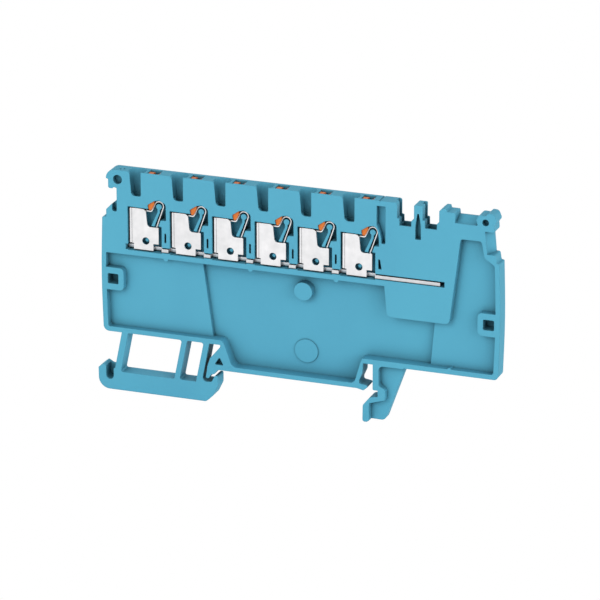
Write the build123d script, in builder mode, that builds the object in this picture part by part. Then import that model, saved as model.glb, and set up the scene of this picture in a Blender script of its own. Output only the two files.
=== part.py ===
from build123d import *

import os

os.makedirs("parts", exist_ok=True)

# Push-in terminal block for a DIN rail: one moulded housing with six spring clamps on a common bar.
# All sizes are in millimetres. x runs along the block, y from the open face to the closed back,
# and z up from the seat on the rail, whose middle is the origin.

# Housing
thickness = 3.5
height = 43.4
underside = 5.9
rim = 1.1
back_skin = 0.7
panel_depth = thickness / 2
side_bow = 0.4
strip_height = 1.15
shallow_depth = 1.4

# Rail foot
rail_width = 35.0
foot_drop = 7.7
foot_web = 2.0
strut_lean = 0.2
notch_height = 1.45

# Clamping cells
cell_count = 6
cell_pitch = 9.83
first_cell_x = -34.7
pocket_drop = 8.0
hole_drop = 7.65
left_margin = 10.45
right_margin = 32.15

# Metal
sheet = 0.4
leaf = 0.24
loop_radius = 1.05
bar_height = 0.75
plate_depth = 0.35
contact_hole = 0.84

# Release buttons
button_travel = 1.5
button_top_gap = 0.2
shaft_left = 0.5
shaft_width = 2.75
front_wall = 0.25
running_gap = 0.1

# Places that follow from the sizes above
floor_depth = thickness - back_skin
pocket_top = height - pocket_drop
hole_z = pocket_top - hole_drop
bar_bottom = hole_z - 2.15
socket_floor = height - 5.05
comb_step = height - 3.4
shoulder_top = height - 11.1
side_ledge = height - 9.3
side_middle = (underside + shoulder_top) / 2
channel_floor = height - 3.05
socket_wall = 0.3
groove_depth = 0.65
left_x = first_cell_x - left_margin
cell_places = [first_cell_x + cell_pitch * number for number in range(cell_count)]
last_cell_x = cell_places[-1]
right_x = last_cell_x + right_margin
hook_x = -rail_width / 2
lug_x = left_x - 1.0
nose_x = rail_width / 2
head_right = last_cell_x + 8.7
pocket_bottom = bar_bottom - 0.25
recess_top = pocket_bottom - strip_height
eye_z = (underside + recess_top) / 2 + 3.15
seat_rim = 1.05
finger_x = 3.1
finger_z = pocket_top + 0.5
bar_top = bar_bottom + bar_height
bar_left = first_cell_x - 4.5
bar_right = last_cell_x + 18.4
bar_extension = last_cell_x + 3.7
plate_left = -3.6
plate_right = 3.0
plate_top = pocket_top - 0.35
shoulder_z = hole_z + 3.3
spring_front = plate_depth + sheet + running_gap
leaf_width = floor_depth - spring_front - 0.15
tab_left = -2.8
tab_right = 1.75
stem_width = 1.4
stem_middle = shaft_left + running_gap + stem_width / 2
shaft_length = floor_depth - front_wall - 0.15
shaft_depth = 5.2
wire_radius = 1.05
wire_x = -2.1
wire_depth = floor_depth - wire_radius - 0.3
shaft_middle = shaft_left + shaft_width / 2
eye_size = 2.5
left_eye_radius = 1.05
right_eye_radius = 0.75
boss_x = 1.5
boss_radius = 2.07
boss_gap = 0.9
gate_radius = 0.55
left_eye = (left_x + 2.75, eye_z)
right_eye = (right_x - 2.7, eye_z)


def face_plane(depth, x=0.0):
    """Drawing plane parallel to the open face and this deep behind it, with its origin at x."""
    return Plane(origin=(x, depth - thickness / 2, 0), x_dir=(1, 0, 0), z_dir=(0, -1, 0))


def level_plane(z, x=0.0):
    """Level drawing plane whose y is counted as depth behind the open face."""
    return Plane(origin=(x, -thickness / 2, z))


def outline(*corners):
    """Closed profile through corners given as x, z and corner radius."""
    with BuildSketch() as profile:
        with BuildLine():
            FilletPolyline(
                [corner[:2] for corner in corners],
                radius=[corner[2] for corner in corners],
                close=True,
            )
        make_face()
    return profile.sketch


def body_outline():
    """Main body: bowed sides, stepped left shoulder, tall head over the cells, low right shoulder."""
    ledge = shoulder_top + 3.25
    bow_radius = (side_middle - underside) ** 2 / (2 * side_bow)
    return outline(
        (left_x + side_bow, underside, 1.3),
        (left_x, side_middle, bow_radius),
        (left_x + side_bow, shoulder_top, 0.2),
        (left_x + 1.35, shoulder_top + 0.15, 0.1),
        (left_x + 1.35, ledge - 1.4, 0.3),
        (left_x + 2.7, ledge, 0.3),
        (left_x + 3.85, ledge, 0),
        (left_x + 3.85, height, 0),
        (head_right, height, 0.5),
        (head_right, comb_step, 0),
        (head_right + 0.5, comb_step - 0.2, 0.1),
        (head_right + 0.55, socket_floor, 0),
        (right_x - 3.5, socket_floor, 0),
        (right_x - 3.3, side_ledge, 0),
        (right_x - 1.35, side_ledge, 0.4),
        (right_x - 1.05, shoulder_top, 0.3),
        (right_x - side_bow, shoulder_top - 0.1, 0.2),
        (right_x, side_middle, bow_radius),
        (right_x - side_bow, underside, 1.0),
    )


def base_outline():
    """Base over the rail, with the catch block on the left and the lip beside the slot on the right."""
    return outline(
        (hook_x + 0.1, underside + 1, 0),
        (hook_x + 0.1, underside - 0.5, 0.3),
        (hook_x - 2.3, 2.5, 1.5),
        (hook_x - 2.9, 0.6, 1.0),
        (hook_x - 3.3, -2.25, 0.25),
        (hook_x - 2.6, -2.2, 0.25),
        (hook_x - 2.0, -1.25, 0.3),
        (hook_x - 1.25, -1.05, 0.3),
        (hook_x - 0.5, 0, 0.3),
        (nose_x - 3.3, 0, 2.0),
        (nose_x - 1.75, -0.35, 0.3),
        (nose_x - 0.85, 0.45, 0.2),
        (nose_x - 0.9, 0.85, 0.2),
        (nose_x - 2.75, 1.15, 0.4),
        (nose_x - 2.75, 1.9, 0.6),
        (nose_x - 2.0, 3.6, 1.5),
        (nose_x - 1.85, underside + 1, 0),
    )


def left_foot_outline():
    """Sprung foot: struts, beam, release lug at the left end and rail hook at the right end."""
    strut_x = left_x + 4.65
    hinge_x = hook_x - 2.45
    drop = underside + 2.9
    with BuildSketch() as foot:
        add(
            outline(
                (strut_x + strut_lean, underside + 1, 0),
                (strut_x - strut_lean * drop, -2.9, 0.3),
                (lug_x + 2.2, -2.6, 0.4),
                (lug_x + 1.15, -1.95, 0.4),
                (lug_x, -2.9, 0.2),
                (lug_x + 0.1, -foot_drop, 2.6),
                (hook_x - 3.2, -foot_drop, 1.2),
                (hook_x - 1.6, -6.2, 2.5),
                (hook_x - 0.45, -3.8, 1.5),
                (hook_x - 0.45, -1.45, 0.3),
                (hook_x - 1.2, -1.5, 0.3),
                (hook_x - 1.95, -3.0, 0.5),
                (hinge_x - strut_lean * drop, -3.15, 0.9),
                (hinge_x + strut_lean, underside + 1, 0),
            )
        )
        for left, right in ((strut_x + 1.5, hook_x - 8.85), (hook_x - 7.6, hook_x - 3.75)):
            add(leaning_opening(left, right, underside, -3.4), mode=Mode.SUBTRACT)
    return foot.sketch


def leaning_opening(left, right, top, bottom):
    """Opening between two struts, which lean with them."""
    shift = strut_lean * (top - bottom)
    return outline(
        (left, top, 0.3),
        (right, top, 0.5),
        (right - shift, bottom, 0.2),
        (left - shift, bottom, 0.4),
    )


def right_foot_outline():
    """Fixed foot: rail notch and nose on the left, sloped web on the right."""
    return outline(
        (nose_x + 0.35, underside + 1, 0),
        (nose_x + 0.35, 0, 0.25),
        (nose_x + 1.5, 0, 0.1),
        (nose_x + 1.5, -notch_height, 0.1),
        (nose_x - 0.3, -notch_height - 0.3, 1.2),
        (nose_x - 1.9, -notch_height - 2.3, 0.9),
        (nose_x - 1.95, -foot_drop + 0.15, 0.5),
        (nose_x - 0.95, -foot_drop + 0.15, 0.3),
        (nose_x - 0.4, -foot_drop + 0.55, 0.4),
        (nose_x + 2.75, -foot_drop + 0.5, 1.2),
        (nose_x + 7.4, underside, 0),
        (nose_x + 7.4, underside + 1, 0),
    )


def foot_web_outline():
    """Part of the fixed foot that is recessed, inside the rib that follows its rail side."""
    rib = 1.35
    inner = nose_x + 0.35 + rib
    return outline(
        (inner, underside - 0.2, 1.0),
        (inner, 1.15, 0.8),
        (inner + 1.5, 0.4, 0.7),
        (inner + 1.5, -notch_height - 0.6, 0.3),
        (nose_x - 0.45, -notch_height - 1.7, 0.3),
        (nose_x - 0.45, -foot_drop - 1, 0),
        (nose_x + 9, -foot_drop - 1, 0),
        (nose_x + 9, underside - 0.2, 0),
    )


def left_lug_outline():
    """Rounded ear over the left marker channel."""
    ear_x = left_x + 1.4
    return outline(
        (ear_x, height, 2.0),
        (ear_x, height - 2.1, 0.1),
        (ear_x + 0.5, height - 2.25, 0.1),
        (ear_x + 0.5, height - 4.3, 0.4),
        (ear_x + 1.5, height - 4.3, 0.2),
        (ear_x + 1.8, height - 3.95, 0.2),
        (ear_x + 3, height - 4.3, 0.1),
        (ear_x + 3, height, 0),
    )


def comb_outline():
    """Prong and marker tower that bound the two bridge channels, drawn from the socket floor up."""
    prong_x = head_right + 3.8
    tower_x = head_right + 9.45
    with BuildSketch() as comb:
        add(
            outline(
                (prong_x - 0.6, socket_floor - 1, 0),
                (prong_x - 0.6, comb_step - 0.35, 0.1),
                (prong_x, comb_step + 0.1, 0.1),
                (prong_x, height - 0.1, 0.2),
                (prong_x + 1.95, height - 0.1, 0.2),
                (prong_x + 1.95, comb_step + 0.1, 0),
                (prong_x + 2.45, comb_step, 0.1),
                (prong_x + 2.5, socket_floor - 1, 0),
            )
        )
        add(
            outline(
                (tower_x - 0.5, socket_floor - 1, 0),
                (tower_x - 0.5, comb_step - 0.35, 0.1),
                (tower_x, comb_step + 0.1, 0.1),
                (tower_x, height - 0.75, 0.3),
                (tower_x + 0.7, height - 0.15, 0.3),
                (tower_x + 1.55, height - 0.1, 0.2),
                (tower_x + 1.75, height - 0.8, 0.1),
                (tower_x + 3.6, height - 0.8, 0.3),
                (tower_x + 3.7, height - 1.9, 0),
                (tower_x + 3.7, socket_floor - 1, 0),
            )
        )
    return comb.sketch


def right_lug_outline():
    """Marker channel block and rounded ear at the right end, above the low shoulder."""
    channel_top = height - 1.9
    ear_z = height - 2.2
    ear_x = right_x - 3.8
    return outline(
        (head_right + 12, channel_top, 0),
        (ear_x - 1.95, channel_top, 0),
        (ear_x - 1.45, ear_z + 1.6, 0.8),
        (ear_x + 0.15, ear_z + 1.5, 0.3),
        (ear_x + 0.75, ear_z + 2.15, 0.5),
        (ear_x + 2.05, ear_z + 2.1, 0.9),
        (ear_x + 2.7, ear_z + 0.45, 0.6),
        (ear_x + 2.1, ear_z - 0.4, 0.3),
        (ear_x + 2.2, ear_z - 1.8, 0.6),
        (ear_x + 1.25, ear_z - 2.9, 0.2),
        (ear_x + 1.65, side_ledge, 0),
        (ear_x - 3, side_ledge, 0),
        (head_right + 12, height - 6, 0),
    )


def recess_outline():
    """Large shallow recess, which leaves the rim, the strip, the raised block, both eyes and the gate bumps."""
    block_x = last_cell_x + 5.9
    block_bottom = recess_top - 6.95
    tall_x = last_cell_x + 23.0
    tall_top = height - 6.5
    with BuildSketch() as recess:
        add(
            outline(
                (left_x + rim + 0.1, recess_top, 0.2),
                (left_x + rim, side_middle, 0),
                (left_x + rim + side_bow, underside + rim, 0.4),
                (hook_x + 0.75, underside + rim, 1.3),
                (hook_x + 2.9, seat_rim, 1.5),
                (nose_x - 3.9, seat_rim, 1.3),
                (nose_x - 2.2, underside + rim, 0.8),
                (right_x - rim - side_bow, underside + rim, 0.6),
                (right_x - rim, side_middle, 0),
                (right_x - rim - side_bow, shoulder_top - 0.6, 0.8),
                (right_x - 3.8, shoulder_top + 0.9, 1.0),
                (right_x - 4.5, tall_top, 0.6),
                (tall_x, tall_top, 0.6),
                (tall_x - 2.4, block_bottom, 1.1),
                (block_x + 0.6, block_bottom, 1.2),
                (block_x, recess_top, 0.1),
            )
        )
        with Locations(left_eye, right_eye):
            RectangleRounded(5.0, eye_size + 2 * rim + 0.5, 1.0, mode=Mode.SUBTRACT)
        with Locations(*[(cell_places[number] + 4.75, recess_top + 0.05) for number in (0, 2, 4)]):
            Circle(gate_radius, mode=Mode.SUBTRACT)
        with Locations((right_x - 11.4, underside + rim - 0.25)):
            Circle(gate_radius, mode=Mode.SUBTRACT)
    return recess.sketch


def middle_outline():
    """Deeper middle part of the recess, between two slanting steps."""
    step_left = left_x + 23.05
    step_right = last_cell_x + 17.55
    with BuildSketch() as middle:
        add(recess_outline())
        add(
            outline(
                (step_left, recess_top + 1, 0),
                (step_left + 2.5, underside + rim - 0.2, 0),
                (step_left + 2.5, -1, 0),
                (step_right - 1.6, -1, 0),
                (step_right - 1.6, underside + rim - 0.2, 0),
                (step_right, recess_top + 1, 0),
            ),
            mode=Mode.INTERSECT,
        )
    return middle.sketch


def pocket_outline():
    """Spring and clamp pocket of one cell, drawn about the cell's own x."""
    arch = loop_radius + 0.3
    return outline(
        (-4.1, pocket_bottom, 0.1),
        (-4.1, pocket_top, 0.2),
        (0.75, pocket_top - 0.1, 0),
        (0.6, finger_z + 0.3, 0.2),
        (finger_x - 1.0, finger_z + 1.35, 0.6),
        (finger_x + 0.2, finger_z + 0.3 + arch, 0.9),
        (finger_x + 1.75, finger_z + 0.9, 0.9),
        (finger_x + 1.8, finger_z - 2.85, 0.1),
        (finger_x + 0.5, finger_z - 2.95, 0.1),
        (finger_x + 0.05, finger_z - 4.35, 0.1),
        (finger_x + 0.75, finger_z - 4.4, 0),
        (finger_x + 0.75, pocket_bottom, 0.1),
    )


def finger_outline():
    """Post inside the spring: round head, narrow neck and slanting blade."""
    with BuildSketch() as finger:
        with Locations((finger_x, finger_z)):
            Circle(loop_radius - leaf / 2 - 0.27)
        add(
            outline(
                (finger_x - 0.35, finger_z, 0),
                (finger_x - 0.35, finger_z - 1.25, 0.4),
                (finger_x - 1.85, finger_z - 4.6, 0.15),
                (finger_x - 1.1, finger_z - 4.6, 0.15),
                (finger_x + 0.2, finger_z - 1.25, 0.6),
                (finger_x + 0.25, finger_z, 0),
            )
        )
    return finger.sketch


def flat_strip(left, right, front, back):
    """Rectangle in plan from its two ends and its two depths."""
    with BuildSketch() as strip:
        with Locations(((left + right) / 2, (front + back) / 2)):
            Rectangle(right - left, back - front)
    return strip.sketch


def plate_outline():
    """Front plate of a clamp: tall wing beside the wire, shoulder under the spring, tab over the bar."""
    return outline(
        (plate_left, hole_z - 0.75, 0.1),
        (plate_left, plate_top, 0.1),
        (0.0, plate_top, 0.9),
        (0.4, shoulder_z, 0.8),
        (plate_right, shoulder_z, 0.1),
        (plate_right, hole_z - 0.5, 0.1),
        (tab_right, hole_z - 0.5, 0.1),
        (tab_right, bar_bottom + 0.05, 0.1),
        (tab_left, bar_bottom + 0.05, 0.1),
        (tab_left, hole_z - 0.75, 0.1),
    )


def button_stem_outline(top):
    """Stem of a release button, whose slanting tip follows the spring."""
    left = stem_middle - stem_width / 2
    right = stem_middle + stem_width / 2
    return outline(
        (left, top, 0),
        (left, finger_z - 0.5, 0.1),
        (left + 0.45, finger_z - 1.0, 0.15),
        (right - 0.6, finger_z - 0.75, 0.2),
        (right, finger_z + 0.5, 0.1),
        (right, top, 0),
    )


with BuildPart() as cell_entry:
    # Everything that opens a cell upwards, drawn about the cell's own x: first the wire funnel,
    # tapered in the front view and half round in plan, with a wider mouth behind the front wall
    with BuildSketch(face_plane(-0.1)):
        add(
            outline(
                (-4.0, height + 0.1, 0),
                (-3.55, height - 0.7, 0.3),
                (-3.15, height - 5.5, 0.9),
                (-0.92, height - 5.5, 0.4),
                (-0.92, height + 0.1, 0),
            )
        )
    extrude(amount=-floor_depth)
    with BuildSketch(level_plane(height - 6)):
        with Locations((-2.35, floor_depth / 2 - 0.2)):
            Circle(floor_depth / 2)
        with Locations((-2.4, 0.5)):
            Rectangle(3.4, 1.4)
    extrude(amount=7, mode=Mode.INTERSECT)
    mouth_skin = 0.35
    for level, radius, skin in ((height, 1.9, mouth_skin), (height - 5, 1.45, back_skin + mouth_skin)):
        with BuildSketch(level_plane(level)):
            with Locations((-2.0, thickness - skin - radius)):
                Circle(radius)
            with Locations((-2.0, front_wall - 2)):
                Rectangle(8, 4, mode=Mode.SUBTRACT)
    loft()
    # Wire way from the funnel into the pocket
    with BuildSketch(level_plane(pocket_top - 0.2)):
        with Locations((wire_x, wire_depth)):
            Circle(wire_radius)
    extrude(amount=pocket_drop - 4.9)
    # Shaft of the button head and channel of its stem
    with BuildSketch(level_plane(height + 0.1)):
        with Locations((shaft_middle, front_wall + shaft_length / 2)):
            Rectangle(shaft_width, shaft_length)
    extrude(amount=-shaft_depth - 0.1)
    with BuildSketch(level_plane(height - shaft_depth)):
        with Locations((stem_middle, front_wall + shaft_length / 2)):
            Rectangle(stem_width + 2 * running_gap, shaft_length)
    extrude(amount=shaft_depth - pocket_drop - 0.2)

with BuildPart() as top_channel:
    # Marker channel at the top right, whose floor curves up into its back wall
    with BuildSketch(face_plane(-0.1)):
        add(
            outline(
                (head_right + 12.95, channel_floor, 0.2),
                (head_right + 13.3, height, 0),
                (head_right + 14, height, 0),
                (right_x - 5.75, height - 1.9, 0),
                (right_x - 5.35, channel_floor, 0.2),
            )
        )
    extrude(amount=-floor_depth - 0.1)
    with BuildSketch(Plane(origin=(head_right, -thickness / 2, channel_floor), x_dir=(0, 1, 0), z_dir=(1, 0, 0))):
        add(
            outline(
                (-0.2, 0, 0),
                (1.0, 0, 1.5),
                (floor_depth, 1.2, 0),
                (floor_depth, height - channel_floor, 0),
                (-0.2, height - channel_floor, 0),
            )
        )
    extrude(amount=right_x - head_right, mode=Mode.INTERSECT)

with BuildPart() as side_channel:
    # Marker channel down the right side, which leans and whose wall curves round into the back skin
    for level, shift in ((height - 4.2, 0), (side_ledge, 0.55)):
        with BuildSketch(level_plane(level, right_x - 3.75 + shift)):
            add(
                outline(
                    (0, -0.1, 0),
                    (0, 0.8, 1.5),
                    (1.25, floor_depth, 0),
                    (4, floor_depth, 0),
                    (4, -0.1, 0),
                )
            )
    loft()

with BuildPart() as housing:
    # Full outline of the moulding
    with BuildSketch(face_plane(0)):
        add(body_outline())
        add(base_outline())
        add(left_foot_outline())
        add(right_foot_outline())
        add(left_lug_outline())
        add(comb_outline())
        add(right_lug_outline())
    extrude(amount=-thickness)

    # Large recess, the recessed side of the fixed foot, and the cells' funnels and shafts
    with BuildSketch(face_plane(0)):
        add(recess_outline())
    extrude(amount=-panel_depth, mode=Mode.SUBTRACT)
    with BuildSketch(face_plane(0)):
        add(foot_web_outline())
    extrude(amount=-(thickness - foot_web), mode=Mode.SUBTRACT)
    with Locations(*[(x, 0, 0) for x in cell_places]):
        add(cell_entry.part, mode=Mode.SUBTRACT)
    add(top_channel.part, mode=Mode.SUBTRACT)
    add(side_channel.part, mode=Mode.SUBTRACT)

    # Hollows that end at the back skin
    with BuildSketch(face_plane(0)):
        add(middle_outline())
        with Locations(*[(x, 0) for x in cell_places]):
            add(pocket_outline())
        # Slot for the current bar through every cell wall, and the slits in those walls
        add(
            outline(
                (bar_left - 0.1, bar_bottom - 0.1, 0),
                (bar_left - 0.1, bar_top + 0.4, 0),
                (bar_right + 1.1, bar_top + 0.4, 0),
                (bar_right + 1.1, bar_bottom - 0.1, 0),
            )
        )
        with Locations(*[(x + 4.7, hole_z + 1.25) for x in cell_places[:-1]]):
            SlotOverall(2.2, 0.42, rotation=90)
        add(
            outline(
                (last_cell_x + 4.5, hole_z + 2.35, 0.1),
                (last_cell_x + 4.55, hole_z + 0.15, 0.1),
                (last_cell_x + 5.3, hole_z + 0.15, 0.1),
                (last_cell_x + 4.9, hole_z + 2.35, 0.1),
            )
        )
        # Tall slot beside the last cell
        add(
            outline(
                (last_cell_x + 4.1, height - 1.2, 0.1),
                (last_cell_x + 4.1, finger_z + 1.9, 0.8),
                (last_cell_x + 5.2, pocket_top - 1.65, 0.3),
                (last_cell_x + 6.1, pocket_top - 1.65, 0.3),
                (last_cell_x + 6.1, height - 1.2, 0.1),
            )
        )
        # Square eyes on both rims and the slot of the release lug
        with Locations(left_eye, right_eye):
            RectangleRounded(eye_size, eye_size - 0.15, 0.3)
        with Locations((lug_x + 2.7, -3.0)):
            SlotOverall(4.8, 1.8, rotation=90)
    extrude(amount=-floor_depth, mode=Mode.SUBTRACT)

    # Shallow hollows: round eyes in both ears, notch of the left marker channel, slit between the
    # bridge channels, and the small triangle in the catch block
    with BuildSketch(face_plane(0)):
        with Locations((left_x + 4.1, height - 2.15)):
            Circle(left_eye_radius)
        with Locations((right_x - 3.65, height - 2.2)):
            Circle(right_eye_radius)
        add(
            outline(
                (left_x + 2.75, shoulder_top + 4, 0),
                (left_x + 2.75, shoulder_top + 1.6, 0.5),
                (left_x + 3.85, shoulder_top + 1.5, 0.4),
                (left_x + 3.85, shoulder_top + 4, 0),
            )
        )
        add(
            outline(
                (head_right + 4.55, height - 2.0, 0.1),
                (head_right + 4.33, height - 3.4, 0),
                (head_right + 4.13, height - 4.75, 1.0),
                (head_right + 4.1, height - 7.8, 0.2),
                (head_right + 5.4, height - 7.75, 0.2),
                (head_right + 5.35, height - 4.7, 1.0),
                (head_right + 5.15, height - 3.4, 0),
                (head_right + 4.9, height - 2.0, 0.1),
            )
        )
        add(
            outline(
                (hook_x - 0.05, 3.0, 0.2),
                (hook_x - 1.25, 1.2, 0.2),
                (hook_x + 0.9, 1.2, 0.2),
            )
        )
    extrude(amount=-shallow_depth, mode=Mode.SUBTRACT)

    # Sockets that fill the floors of the two bridge channels, and their guide grooves in the left walls
    with BuildSketch(level_plane(socket_floor + 1)):
        with Locations((head_right + 1.85, thickness / 2), (head_right + 7.6, thickness / 2)):
            Rectangle(2.5, thickness - 2 * socket_wall)
    extrude(amount=-8, mode=Mode.SUBTRACT)
    with BuildSketch(level_plane(height)):
        with Locations((head_right, 0), (head_right + 5.75, 0)):
            add(flat_strip(-groove_depth, 0.6, thickness / 2, thickness - socket_wall))
    extrude(amount=socket_floor - height, mode=Mode.SUBTRACT)

    # Groove across the top beside the last cell, and two dimples on the left ear
    with BuildSketch(level_plane(height)):
        with Locations((last_cell_x + 4.8, thickness / 2)):
            Rectangle(0.3, thickness)
        with Locations((left_x + 4.45, 1.05), (left_x + 5.2, 1.45)):
            Circle(0.25)
    extrude(amount=-0.3, mode=Mode.SUBTRACT)

    # Back wall of the left marker channel
    with BuildSketch(face_plane(floor_depth)):
        with Locations((left_x + 3.45, (side_ledge + height - 3.2) / 2)):
            Rectangle(1.1, height - 3.2 - side_ledge)
    extrude(amount=-back_skin)

    # Boss and raised disc on the floor of the recess
    with BuildSketch(face_plane(thickness - 0.1)):
        with Locations((boss_x, height - 23.1)):
            Circle(boss_radius)
    extrude(amount=thickness - 0.1 - boss_gap)
    with BuildSketch(face_plane(thickness - 0.1)):
        with Locations((boss_x + 0.2, underside + 0.2)):
            Circle(boss_radius + 0.6)
    extrude(amount=back_skin + 0.2)

    # Posts inside the springs and the pegs behind the contact holes
    with BuildSketch(face_plane(thickness - 0.1)):
        with Locations(*[(x, 0) for x in cell_places]):
            add(finger_outline())
    extrude(amount=thickness - 0.1 - 0.5)
    with BuildSketch(face_plane(thickness - 0.1)):
        with Locations(*[(x, hole_z) for x in cell_places]):
            Circle(contact_hole / 2)
    extrude(amount=thickness - 0.1 - plate_depth - 0.8)

housing.part.label = "housing"
export_step(housing.part, "parts/housing.step")

with BuildPart() as current_bar:
    # Flat strip with a tooth in every cell wall, a seat behind every clamp and a long end on the right
    strip_front = floor_depth / 2
    seat_front = plate_depth + sheet
    tooth_front = 0.3
    with BuildSketch(level_plane(bar_bottom)):
        add(flat_strip(bar_left, bar_right, strip_front, floor_depth - 0.1))
        add(flat_strip(bar_extension, bar_right, tooth_front, strip_front))
        for x in cell_places[:-1]:
            add(flat_strip(x + 3.7, x + 5.25, tooth_front, strip_front))
        for x in cell_places:
            add(flat_strip(x + tab_left, x + tab_right, seat_front, strip_front))
    extrude(amount=bar_height)

current_bar.part.label = "current_bar"
export_step(current_bar.part, "parts/current_bar.step")

for number, x in enumerate(cell_places, start=1):
    # Clamp: folded plate with a contact hole, its left edge bent back as the contact wall
    with BuildPart() as clamp_frame:
        with BuildSketch(level_plane(bar_bottom, x)):
            with BuildLine():
                FilletPolyline(
                    (plate_right, plate_depth + sheet / 2),
                    (plate_left + sheet / 2, plate_depth + sheet / 2),
                    (plate_left + sheet / 2, floor_depth - 0.25),
                    radius=sheet,
                )
            trace(line_width=sheet)
        extrude(amount=plate_top - bar_bottom)
        with BuildSketch(face_plane(0, x)):
            add(plate_outline())
            with Locations((0, hole_z)):
                Circle(contact_hole, mode=Mode.SUBTRACT)
        extrude(amount=-thickness, mode=Mode.INTERSECT)
    clamp_frame.part.label = f"clamp_frame_{number}"
    export_step(clamp_frame.part, f"parts/clamp_frame_{number}.step")

    # Spring: bent leaf that loops over its post, with a leg on the right and a clamping tongue on the left
    with BuildPart() as clamp_spring:
        with BuildSketch(face_plane(spring_front, x)):
            with BuildLine():
                loop = CenterArc((finger_x, finger_z), loop_radius, -19, 173)
                leg_start = loop @ 0
                PolarLine(leg_start, 5.9, direction=(loop % 0) * -1)
                knee = loop @ 1 + (loop % 1) * 2.1
                FilletPolyline(
                    loop @ 1,
                    knee,
                    (-0.6, finger_z - 1.3),
                    (-2.95, finger_z - 3.5),
                    radius=(0.5, 0.9),
                )
            trace(line_width=leaf)
        extrude(amount=-leaf_width)
    clamp_spring.part.label = f"clamp_spring_{number}"
    export_step(clamp_spring.part, f"parts/clamp_spring_{number}.step")

    # Release button: head with a blind hole for the screwdriver tip, stem, and a tip that lies on the tongue
    with BuildPart() as release_button:
        head_bottom = height - shaft_depth + button_travel + running_gap
        head_top = height - button_top_gap
        with BuildSketch(level_plane(head_bottom, x)):
            with Locations((shaft_middle, front_wall + shaft_length / 2)):
                Rectangle(shaft_width - 2 * running_gap, shaft_length - 2 * running_gap)
        extrude(amount=head_top - head_bottom)
        with BuildSketch(level_plane(head_top, x)):
            with Locations((shaft_middle + 0.45, front_wall + 1.2)):
                Circle(0.7)
            with Locations((shaft_middle, front_wall + shaft_length)):
                Rectangle(shaft_width, 1.4)
        extrude(amount=-1.0, mode=Mode.SUBTRACT)
        with BuildSketch(face_plane(front_wall + running_gap, x)):
            add(button_stem_outline(head_bottom + 0.2))
        extrude(amount=-(shaft_length - 2 * running_gap))
    release_button.part.label = f"release_button_{number}"
    export_step(release_button.part, f"parts/release_button_{number}.step")
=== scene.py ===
import math

import bmesh
import bpy
from mathutils import Matrix, Vector


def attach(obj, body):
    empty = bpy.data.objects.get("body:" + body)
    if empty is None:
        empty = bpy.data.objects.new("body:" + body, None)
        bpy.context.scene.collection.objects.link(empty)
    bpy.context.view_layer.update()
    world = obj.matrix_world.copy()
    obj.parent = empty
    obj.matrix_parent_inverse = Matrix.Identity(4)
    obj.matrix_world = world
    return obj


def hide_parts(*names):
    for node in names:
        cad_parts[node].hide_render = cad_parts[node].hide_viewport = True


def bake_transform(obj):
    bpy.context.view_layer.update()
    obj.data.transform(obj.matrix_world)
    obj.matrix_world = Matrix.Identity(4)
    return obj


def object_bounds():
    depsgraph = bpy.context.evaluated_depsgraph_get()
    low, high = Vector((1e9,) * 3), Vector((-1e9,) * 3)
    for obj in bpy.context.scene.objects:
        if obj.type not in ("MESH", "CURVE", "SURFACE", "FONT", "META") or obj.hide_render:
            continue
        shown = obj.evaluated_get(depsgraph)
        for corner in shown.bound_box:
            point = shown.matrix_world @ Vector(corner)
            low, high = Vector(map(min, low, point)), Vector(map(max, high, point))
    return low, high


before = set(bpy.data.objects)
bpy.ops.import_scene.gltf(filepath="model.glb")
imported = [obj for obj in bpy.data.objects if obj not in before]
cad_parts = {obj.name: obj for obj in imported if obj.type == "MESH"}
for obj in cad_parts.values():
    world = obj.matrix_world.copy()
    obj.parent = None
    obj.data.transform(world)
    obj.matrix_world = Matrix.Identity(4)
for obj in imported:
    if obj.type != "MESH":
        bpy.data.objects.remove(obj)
cad_low, cad_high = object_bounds()

# Lengths of the block are in millimetres and turn into metres by MM. Depths count from the open face.
MM = 0.001
HALF_THICKNESS = 1.75
FIRST_CELL = -34.7
CELL_PITCH = 9.83
CELLS = [FIRST_CELL + CELL_PITCH * number for number in range(6)]


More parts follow.
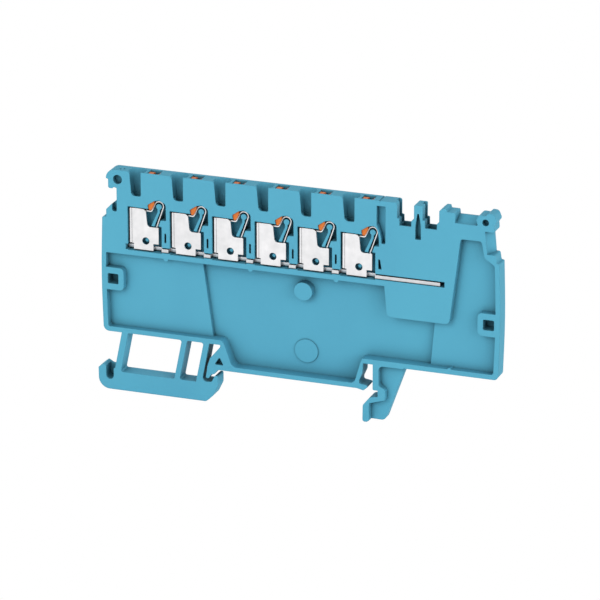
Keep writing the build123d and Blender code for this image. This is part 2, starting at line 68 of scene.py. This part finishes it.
# Materials
class Nodes:
    """Short way to add nodes and links to one material."""

    def __init__(self, name):
        self.material = bpy.data.materials.new(name)
        self.material.use_nodes = True
        self.tree = self.material.node_tree
        self.shader = self.tree.nodes["Principled BSDF"]
        self.place = self.add("ShaderNodeTexCoord").outputs["Object"]

    def add(self, kind, **values):
        node = self.tree.nodes.new(kind)
        for key, value in values.items():
            setattr(node, key, value)
        return node

    def link(self, source, target):
        self.tree.links.new(source, target)

    def stretched(self, scale):
        """Object coordinates scaled along each axis, so that a pattern draws out along one of them."""
        node = self.add("ShaderNodeMapping")
        node.inputs["Scale"].default_value = scale
        self.link(self.place, node.inputs["Vector"])
        return node.outputs["Vector"]

    def noise(self, scale, detail=3.0, roughness=0.5, vector=None):
        node = self.add("ShaderNodeTexNoise")
        node.inputs["Scale"].default_value = scale
        node.inputs["Detail"].default_value = detail
        node.inputs["Roughness"].default_value = roughness
        self.link(vector or self.place, node.inputs["Vector"])
        return node.outputs["Fac"]

    def remap(self, value, low, high, from_low=0.3, from_high=0.7):
        node = self.add("ShaderNodeMapRange")
        node.inputs["From Min"].default_value = from_low
        node.inputs["From Max"].default_value = from_high
        node.inputs["To Min"].default_value = low
        node.inputs["To Max"].default_value = high
        self.link(value, node.inputs["Value"])
        return node.outputs["Result"]

    def blend(self, factor, first, second):
        """Mix of two colours, each a tuple or the output of a node."""
        node = self.add("ShaderNodeMix", data_type="RGBA")
        self.link(factor, node.inputs["Factor"])
        for socket, colour in ((node.inputs["A"], first), (node.inputs["B"], second)):
            if isinstance(colour, tuple):
                socket.default_value = (*colour, 1)
            else:
                self.link(colour, socket)
        return node.outputs["Result"]

    def hollow_shade(self, reach, darkest, closed, open_, alone=False):
        """Shade that deepens in hollows up to this wide and along inside corners."""
        warm, cool = 1.15, 0.97
        node = self.add("ShaderNodeAmbientOcclusion", samples=10, only_local=alone)
        node.inputs["Distance"].default_value = reach
        ramp = self.add("ShaderNodeValToRGB")
        ramp.color_ramp.elements[0].position = closed
        ramp.color_ramp.elements[0].color = (darkest * warm, darkest, darkest * cool, 1)
        ramp.color_ramp.elements[1].position = open_
        ramp.color_ramp.elements[1].color = (1, 1, 1, 1)
        self.link(node.outputs["AO"], ramp.inputs["Fac"])
        return ramp.outputs["Color"]

    def multiply(self, first, second):
        node = self.add("ShaderNodeMix", data_type="RGBA", blend_type="MULTIPLY")
        node.inputs["Factor"].default_value = 1.0
        self.link(first, node.inputs["A"])
        self.link(second, node.inputs["B"])
        return node.outputs["Result"]

    def rounded_edges(self, radius):
        node = self.add("ShaderNodeBevel", samples=6)
        node.inputs["Radius"].default_value = radius
        return node.outputs["Normal"]

    def bump(self, height, strength, distance, normal):
        node = self.add("ShaderNodeBump")
        node.inputs["Strength"].default_value = strength
        node.inputs["Distance"].default_value = distance
        self.link(height, node.inputs["Height"])
        self.link(normal, node.inputs["Normal"])
        return node.outputs["Normal"]


def plastic(name, deep, pale, edge_radius, roughness, specular):
    """Injection-moulded plastic: slow flow marks, fine mottling and a faint eroded grain, with painted
    shade in hollows and along inside corners.
    """
    m = Nodes(name)
    flow = m.noise(60, detail=2, roughness=0.45, vector=m.stretched((1, 1, 0.35)))
    speckle = m.noise(1600, detail=3, roughness=0.6)
    base = m.blend(m.remap(flow, 0, 1, from_low=0.25, from_high=0.75), deep, pale)
    tone = m.blend(m.remap(speckle, 0, 0.25), base, pale)
    # Painted shade: the colour darkens in hollows up to 6 mm wide, where shade falls.
    hollow_painted_shade = m.hollow_shade(0.006, darkest=0.38, closed=0.2, open_=0.88, alone=True)
    tone = m.multiply(tone, hollow_painted_shade)
    # Painted shade: the colour darkens along inside corners, between parts and close to the floor.
    corner_painted_shade = m.hollow_shade(0.0011, darkest=0.25, closed=0.15, open_=0.6)
    m.link(m.multiply(tone, corner_painted_shade), m.shader.inputs["Base Color"])
    m.link(m.remap(flow, roughness - 0.05, roughness + 0.06), m.shader.inputs["Roughness"])
    grain = m.noise(5200, detail=2, roughness=0.55)
    edges = m.rounded_edges(edge_radius)
    normal = m.bump(grain, strength=0.12, distance=0.00003, normal=edges)
    m.link(normal, m.shader.inputs["Normal"])
    m.shader.inputs["Specular IOR Level"].default_value = specular
    return m.material


def metal(name, dull, bright, roughness, lines, darkest):
    """Rolled and plated sheet: fine rolling lines, cloudy plating and soft sheared edges, with painted
    shade along inside corners and gaps.
    """
    m = Nodes(name)
    rolled = m.noise(900, detail=4, roughness=0.6, vector=m.stretched(lines))
    cloud = m.noise(420, detail=3, roughness=0.6)
    base = m.blend(m.remap(cloud, 0, 1), dull, bright)
    tone = m.blend(m.remap(rolled, 0, 0.6), base, dull)
    # Painted shade: the colour darkens along inside corners and in narrow gaps between parts, where
    # shade falls.
    corner_painted_shade = m.hollow_shade(0.0008, darkest, closed=0.3, open_=0.85)
    m.link(m.multiply(tone, corner_painted_shade), m.shader.inputs["Base Color"])
    m.link(m.remap(cloud, roughness - 0.05, roughness + 0.07), m.shader.inputs["Roughness"])
    edges = m.rounded_edges(0.00006)
    normal = m.bump(rolled, strength=0.1, distance=0.00002, normal=edges)
    m.link(normal, m.shader.inputs["Normal"])
    m.shader.inputs["Metallic"].default_value = 1.0
    return m.material


HOUSING = plastic(
    "housing_plastic",
    deep=(0.1, 0.388, 0.543),
    pale=(0.109, 0.43, 0.583),
    edge_radius=0.00022,
    roughness=0.5,
    specular=0.05,
)
BUTTON = plastic(
    "button_plastic",
    deep=(0.68, 0.16, 0.028),
    pale=(0.76, 0.215, 0.045),
    edge_radius=0.0001,
    roughness=0.42,
    specular=0.2,
)
BAR = metal(
    "tinned_copper",
    dull=(0.62, 0.64, 0.66),
    bright=(0.8, 0.8, 0.81),
    roughness=0.34,
    lines=(0.08, 1, 1),
    darkest=0.3,
)
CLAMP = metal(
    "tinned_clamp",
    dull=(0.76, 0.76, 0.77),
    bright=(0.89, 0.88, 0.89),
    roughness=0.42,
    lines=(1, 1, 0.08),
    # Painted shade in the plate's corners and gaps goes almost to black.
    darkest=0.05,
)
SPRING = metal(
    "spring_steel",
    dull=(0.84, 0.85, 0.86),
    bright=(0.93, 0.93, 0.94),
    roughness=0.4,
    lines=(1, 0.1, 1),
    darkest=0.3,
)


def dress(node, material):
    """Gives a CAD node its finished material."""
    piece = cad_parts[node]
    piece.data.materials.clear()
    piece.data.materials.append(material)


dress("housing", HOUSING)
dress("current_bar", BAR)
for number in range(1, 7):
    dress(f"clamp_frame_{number}", CLAMP)
    dress(f"release_button_{number}", BUTTON)


def new_piece(name, mesh):
    """Puts a finished mesh into the scene as an object of this name."""
    data = bpy.data.meshes.new(name)
    mesh.to_mesh(data)
    mesh.free()
    piece = bpy.data.objects.new(name, data)
    bpy.context.scene.collection.objects.link(piece)
    return piece


# Springs, with x, z places about the cell's own x
LOOP_CENTRE = Vector((3.0, 35.95))
LOOP_RADIUS = 1.0
LOOP_START = -19
LOOP_END = 154
LEG_LENGTH = 5.9
LOOP_TO_KNEE = 2.1
KNEE_RADIUS = 0.5
ELBOW = Vector((-0.6, 34.6))
ELBOW_RADIUS = 0.9
TONGUE_TIP = Vector((-2.95, 32.4))
LEAF_FRONT = 0.85
LEAF_BACK = 2.65
LEAF_THICKNESS = 0.25
LEAF_EDGE = 0.02


def on_circle(degrees):
    """Unit vector at this angle."""
    return Vector((math.cos(math.radians(degrees)), math.sin(math.radians(degrees))))


def arc(centre, radius, start, end, steps):
    """Points on an arc, angles in degrees."""
    return [
        centre + radius * on_circle(start + (end - start) * i / steps)
        for i in range(steps + 1)
    ]


def bend(before, corner, after, radius, steps=7):
    """Points round one bend of the leaf."""
    first = (before - corner).normalized()
    second = (after - corner).normalized()
    half = first.angle(second) / 2
    middle = corner + (first + second).normalized() * (radius / math.sin(half))
    start = corner + first * (radius / math.tan(half))
    end = corner + second * (radius / math.tan(half))
    points = []
    for i in range(steps + 1):
        chord = start.lerp(end, i / steps) - middle
        points.append(middle + chord.normalized() * radius)
    return points


def run(start, end, steps):
    """Points between two bends, without its two ends."""
    return [start.lerp(end, i / steps) for i in range(1, steps)]


def spring_line():
    """Centre line of one bent leaf: leg, loop, knee, elbow and tongue."""
    loop = arc(LOOP_CENTRE, LOOP_RADIUS, LOOP_START, LOOP_END, 26)
    downwards = on_circle(LOOP_START - 90)
    leg_end = loop[0] + downwards * LEG_LENGTH
    leaving = on_circle(LOOP_END + 90)
    knee = loop[-1] + leaving * LOOP_TO_KNEE
    knee_bend = bend(loop[-1], knee, ELBOW, KNEE_RADIUS)
    elbow_bend = bend(knee, ELBOW, TONGUE_TIP, ELBOW_RADIUS)
    line = [leg_end] + run(leg_end, loop[0], 10) + loop
    line += run(loop[-1], knee_bend[0], 5) + knee_bend
    line += run(knee_bend[-1], elbow_bend[0], 4) + elbow_bend
    line += run(elbow_bend[-1], TONGUE_TIP, 8) + [TONGUE_TIP]
    return line


def leaf(name, line, cell_x):
    """Solid bent leaf along the line, with slightly rolled long edges."""
    mesh = bmesh.new()
    half = LEAF_THICKNESS / 2
    section = (
        (half - LEAF_EDGE, LEAF_FRONT),
        (half, LEAF_FRONT + LEAF_EDGE),
        (half, LEAF_BACK - LEAF_EDGE),
        (half - LEAF_EDGE, LEAF_BACK),
        (-half + LEAF_EDGE, LEAF_BACK),
        (-half, LEAF_BACK - LEAF_EDGE),
        (-half, LEAF_FRONT + LEAF_EDGE),
        (-half + LEAF_EDGE, LEAF_FRONT),
    )
    rings = []
    for i, point in enumerate(line):
        along = (line[min(i + 1, len(line) - 1)] - line[max(i - 1, 0)]).normalized()
        side = Vector((-along.y, along.x))
        ring = []
        for offset, depth in section:
            place = point + side * offset
            y = depth - HALF_THICKNESS
            ring.append(mesh.verts.new(((cell_x + place.x) * MM, y * MM, place.y * MM)))
        rings.append(ring)
    for first, second in zip(rings, rings[1:]):
        for i in range(len(section)):
            j = (i + 1) % len(section)
            mesh.faces.new((first[i], first[j], second[j], second[i]))
    mesh.faces.new(rings[0])
    mesh.faces.new(rings[-1])
    bmesh.ops.recalc_face_normals(mesh, faces=mesh.faces)
    piece = new_piece(name, mesh)
    for face in piece.data.polygons:
        face.use_smooth = True
    piece.data.set_sharp_from_angle(angle=math.radians(35))
    return piece


line = spring_line()
for number, cell_x in enumerate(CELLS, start=1):
    spring = leaf(f"bent_spring_{number}", line, cell_x)
    spring.data.materials.append(SPRING)
    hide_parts(f"clamp_spring_{number}")
    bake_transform(spring)


# Slabs that the block carries, with x, z corners about a cell's own x
SKIN_FRONT = 0.01
SKIN_BACK = 3.49
SLOT_EDGE = [
    (4.08, 37.9),
    (4.25, 37.45),
    (4.5, 36.85),
    (4.84, 36.0),
    (5.05, 35.1),
    (5.2, 33.7),
]
POCKET_EDGE = [
    (5.0, 32.95),
    (4.65, 32.95),
    (4.63, 34.5),
    (4.55, 35.5),
    (4.42, 36.2),
    (4.2, 36.8),
    (3.9, 37.2),
]
SLOT_FLOOR = [(4.05, 42.25), (4.05, 37.5), (5.1, 33.7), (6.15, 33.7), (6.15, 42.25)]
SLOT_FLOOR_DEPTH = 1.7
SLOT_BACK = 2.85
GROOVE_FLOOR = [(4.6, 43.0), (4.6, 43.28), (5.0, 43.28), (5.0, 43.0)]
FOLD = [(-3.69, 27.05), (-3.69, 34.92), (-3.61, 35.03), (-3.25, 35.03), (-3.25, 27.05)]
FOLD_FRONT = 0.338
FOLD_BACK = 0.95


def prism(mesh, cell_x, outline, front, back):
    """Closed upright slab through the corners, between two depths behind the open face."""
    near, far = (
        [
            mesh.verts.new(((cell_x + x) * MM, (depth - HALF_THICKNESS) * MM, z * MM))
            for x, z in outline
        ]
        for depth in (front, back)
    )
    mesh.faces.new(near)
    mesh.faces.new(far)
    for i in range(len(outline)):
        j = (i + 1) % len(outline)
        mesh.faces.new((near[i], near[j], far[j], far[i]))


def slot_rib():
    """Wall between the last spring and the tall slot, the slot's floor and that of the top groove."""
    last = CELLS[-1]
    mesh = bmesh.new()
    prism(mesh, last, SLOT_EDGE + POCKET_EDGE, SKIN_FRONT, SLOT_BACK)
    prism(mesh, last, SLOT_FLOOR, SLOT_FLOOR_DEPTH, SLOT_BACK)
    prism(mesh, last, GROOVE_FLOOR, SKIN_FRONT, SKIN_BACK)
    bmesh.ops.recalc_face_normals(mesh, faces=mesh.faces)
    piece = new_piece("slot_rib", mesh)
    piece.data.materials.append(HOUSING)
    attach(piece, "block")


def clamp_fold(number, cell_x):
    """Rounded fold that stands out a little from the left edge of one clamp plate."""
    mesh = bmesh.new()
    prism(mesh, cell_x, FOLD, FOLD_FRONT, FOLD_BACK)
    bmesh.ops.recalc_face_normals(mesh, faces=mesh.faces)
    piece = new_piece(f"clamp_fold_{number}", mesh)
    piece.data.materials.append(CLAMP)
    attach(piece, "block")


slot_rib()
for number, cell_x in enumerate(CELLS, start=1):
    clamp_fold(number, cell_x)


# Stage
FLOOR_SIZE = 3.0
FLOOR_DROP = 0.00005


def show_white(tree, lighting, white, out):
    """White where the camera or a shiny face looks, the lighting shader for every other ray."""
    path = tree.nodes.new("ShaderNodeLightPath")
    seen = tree.nodes.new("ShaderNodeMath")
    seen.operation = "MAXIMUM"
    tree.links.new(path.outputs["Is Camera Ray"], seen.inputs[0])
    tree.links.new(path.outputs["Is Glossy Ray"], seen.inputs[1])
    mix = tree.nodes.new("ShaderNodeMixShader")
    tree.links.new(seen.outputs[0], mix.inputs["Fac"])
    tree.links.new(lighting.outputs[0], mix.inputs[1])
    tree.links.new(white.outputs[0], mix.inputs[2])
    tree.links.new(mix.outputs[0], out.inputs["Surface"])


def stage_material():
    """Plain pale sweep that catches light softly and looks evenly white."""
    material = bpy.data.materials.new("white_sweep")
    material.use_nodes = True
    tree = material.node_tree
    tree.nodes.clear()
    out = tree.nodes.new("ShaderNodeOutputMaterial")
    diffuse = tree.nodes.new("ShaderNodeBsdfDiffuse")
    diffuse.inputs["Color"].default_value = (0.9, 0.9, 0.9, 1)
    glow = tree.nodes.new("ShaderNodeEmission")
    glow.inputs["Color"].default_value = (1, 1, 1, 1)
    show_white(tree, diffuse, glow, out)
    return material


floor_mesh = bmesh.new()
bmesh.ops.create_grid(floor_mesh, x_segments=1, y_segments=1, size=FLOOR_SIZE)
floor = new_piece("floor", floor_mesh)
floor.location = (0, 0, cad_low[2] - FLOOR_DROP)
floor.data.materials.append(stage_material())


# Light
LIGHT_AIM = (0, 0, 0.02)
LIGHT_SIZE = 0.5
FILL_LEVEL = 0.82
FILL_OVERHEAD = 0.42


def studio_world():
    """Soft fill from all round, dimmer towards the zenith."""
    world = bpy.data.worlds.new("studio")
    bpy.context.scene.world = world
    world.use_nodes = True
    tree = world.node_tree
    tree.nodes.clear()
    out = tree.nodes.new("ShaderNodeOutputWorld")
    fill = tree.nodes.new("ShaderNodeBackground")
    fill.inputs["Color"].default_value = (0.97, 0.98, 1.0, 1)
    direction = tree.nodes.new("ShaderNodeTexCoord")
    parts = tree.nodes.new("ShaderNodeSeparateXYZ")
    dimming = tree.nodes.new("ShaderNodeMapRange")
    dimming.inputs["To Min"].default_value = FILL_LEVEL
    dimming.inputs["To Max"].default_value = FILL_OVERHEAD
    tree.links.new(direction.outputs["Generated"], parts.inputs["Vector"])
    tree.links.new(parts.outputs["Z"], dimming.inputs["Value"])
    tree.links.new(dimming.outputs["Result"], fill.inputs["Strength"])
    white = tree.nodes.new("ShaderNodeBackground")
    white.inputs["Color"].default_value = (1, 1, 1, 1)
    show_white(tree, fill, white, out)


def softbox(name, place, power):
    """Square studio light that points at the object."""
    data = bpy.data.lights.new(name, "AREA")
    data.shape = "SQUARE"
    data.size = LIGHT_SIZE
    data.energy = power
    lamp = bpy.data.objects.new(name, data)
    lamp.location = place
    lamp.rotation_euler = (Vector(LIGHT_AIM) - Vector(place)).to_track_quat("-Z", "Y").to_euler()
    bpy.context.scene.collection.objects.link(lamp)


studio_world()
softbox("key", (-0.2, -0.75, 0.4), power=2.45)
softbox("side", (0.75, -0.3, 0.3), power=2.1)


# Camera
AZIMUTH = math.radians(20)
ELEVATION = math.radians(20)
TARGET = Vector((1.16, -1.75, 18.66)) * MM
DISTANCE = 1.0367
FOCAL_LENGTH = 288
SENSOR_WIDTH = 36

forward = Vector(
    (
        -math.sin(AZIMUTH) * math.cos(ELEVATION),
        math.cos(AZIMUTH) * math.cos(ELEVATION),
        -math.sin(ELEVATION),
    )
)
right = Vector((math.cos(AZIMUTH), math.sin(AZIMUTH), 0))
up = right.cross(forward)
turn = Matrix((right, up, -forward)).transposed().to_4x4()
lens = bpy.data.cameras.new("camera")
lens.sensor_width = SENSOR_WIDTH
lens.lens = FOCAL_LENGTH
lens.clip_start = 0.01
camera = bpy.data.objects.new("camera", lens)
camera.matrix_world = Matrix.Translation(TARGET - forward * DISTANCE) @ turn
bpy.context.scene.collection.objects.link(camera)
bpy.context.scene.camera = camera

bpy.context.scene.view_settings.view_transform = "Standard"
